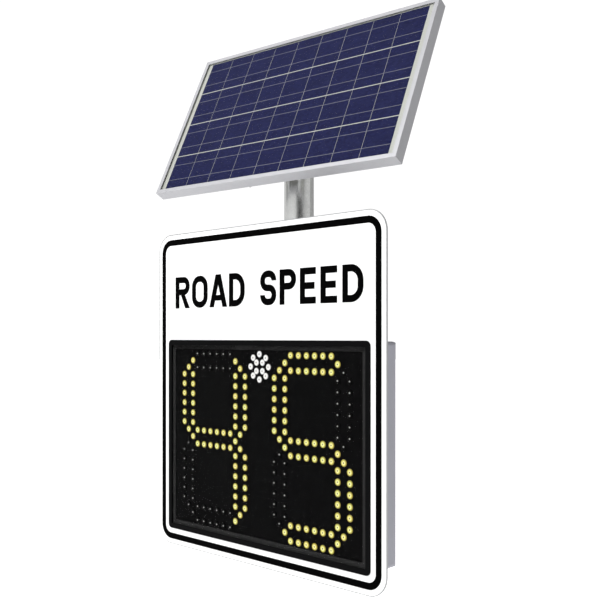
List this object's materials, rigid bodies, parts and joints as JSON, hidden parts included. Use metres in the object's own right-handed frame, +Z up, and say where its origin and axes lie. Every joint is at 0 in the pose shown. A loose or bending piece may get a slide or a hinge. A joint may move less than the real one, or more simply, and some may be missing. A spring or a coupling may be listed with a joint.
{
  "type": "solar speed sign",
  "caption": "Pole-mounted radar speed display: white sign plate with an LED numeral window, a rear equipment enclosure and a tilting solar panel above it.",
  "frame": {"origin": "centre of the mast's lower mouth", "axes": "+Z up along the mast; the sign faces -Y; X runs along the width of the sign"},
  "size_m": [0.783, 0.2901, 1.3561],
  "materials": {
    "galvanised": "hot-dip galvanised, matt",
    "plate_edge": "mill finish",
    "white_sheeting": "retroreflective sheeting",
    "black_film": "satin black film",
    "bezel": "satin black powder coat",
    "window": "clear polycarbonate",
    "black_rubber": "matt",
    "black_mask": "matt black",
    "circuit_board": "green solder mask",
    "led_amber": "lit amber lens",
    "led_dark": "unlit clear lens",
    "led_white": "lit white lens",
    "grey_paint": "grey powder coat",
    "zinc": "zinc plated",
    "stainless": "brushed",
    "aluminium": "mill finish",
    "brass": "plain",
    "controller_case": "blue-grey moulding",
    "rocker_red": "moulded",
    "terminal_green": "moulded",
    "battery_case": "moulded",
    "webbing": "woven strap",
    "black_nylon": "moulded",
    "frame_alu": "clear anodised",
    "solar_glass": "low-iron glass",
    "cell_blue": "polycrystalline silicon under glass",
    "backsheet_white": "white film"
  },
  "bodies": {
    "mast": {"mast_tube": "galvanised", "mast_stop_ring": "galvanised", "mast_grub_screws": "stainless"},
    "sign_head": {"sign_plate": "plate_edge", "face_sheeting": "white_sheeting", "border_film": "black_film", "legend_film": "black_film", "window_bezel": "bezel", "window_pane": "window", "window_gasket": "black_rubber", "led_mask": "black_mask", "tens_board": "circuit_board", "units_board": "circuit_board", "strobe_board": "circuit_board", "tens_leds_lit": "led_amber", "tens_leds_unlit": "led_dark", "units_leds_lit": "led_amber", "units_leds_unlit": "led_dark", "strobe_leds": "led_white", "radar_module": "black_nylon", "enclosure_shell": "grey_paint", "enclosure_gasket": "black_rubber", "plate_studs": "stainless", "stud_nuts": "zinc", "header_stiffener": "aluminium", "chassis_brackets": "aluminium", "equipment_plate": "aluminium", "controller_board": "circuit_board", "board_standoffs": "brass", "charge_controller": "controller_case", "terminal_block": "terminal_green", "batteries": "battery_case", "battery_tray": "zinc", "battery_strap": "webbing", "cable_glands": "black_nylon", "vent_plugs": "black_nylon", "upper_rail": "aluminium", "lower_rail": "aluminium", "rail_bolts": "stainless", "mast_saddles": "galvanised", "u_bolts": "galvanised", "u_bolt_nuts": "zinc", "door_hinge": "stainless"},
    "service_door": {"service_door": "grey_paint", "door_gasket": "black_rubber", "lock_body": "zinc"},
    "lock_cam": {"lock_cam": "zinc"},
    "switch_rocker": {"switch_rocker": "rocker_red"},
    "yoke": {"yoke_collar": "galvanised", "yoke_bracket": "galvanised", "yoke_fasteners": "zinc"},
    "solar_panel": {"cradle_ears": "galvanised", "cross_rails": "aluminium", "panel_bolts": "zinc", "frame_long_rails": "frame_alu", "frame_short_rails": "frame_alu", "panel_glass": "solar_glass", "solar_cells": "cell_blue", "backsheet": "backsheet_white", "junction_box": "black_nylon"}
  },
  "joints": [
    {"name": "sign_swivel", "type": "hinge", "parent": "mast", "child": "sign_head", "pos_m": [0, 0, 0.284], "axis": [0, 0, 1], "range_deg": [-90, 90]},
    {"name": "panel_swivel", "type": "hinge", "parent": "mast", "child": "yoke", "pos_m": [0, 0, 1], "axis": [0, 0, 1], "range_deg": [-180, 180]},
    {"name": "panel_tilt", "type": "hinge", "parent": "yoke", "child": "solar_panel", "pos_m": [0, 0, 1.111], "axis": [0.9962, 0.0872, 0], "range_deg": [-49, 16]},
    {"name": "door_hinge", "type": "hinge", "parent": "sign_head", "child": "service_door", "pos_m": [0.303, -0.0455, 0.2775], "axis": [0, 0, -1], "range_deg": [0, 115]},
    {"name": "lock_turn", "type": "hinge", "parent": "service_door", "child": "lock_cam", "pos_m": [0.084, -0.0475, 0.2775], "axis": [0, -1, 0], "range_deg": [0, 90]},
    {"name": "switch_rock", "type": "hinge", "parent": "sign_head", "child": "switch_rocker", "pos_m": [0.218, -0.076, 0.3395], "axis": [1, 0, 0], "range_deg": [0, 12]}
  ]
}
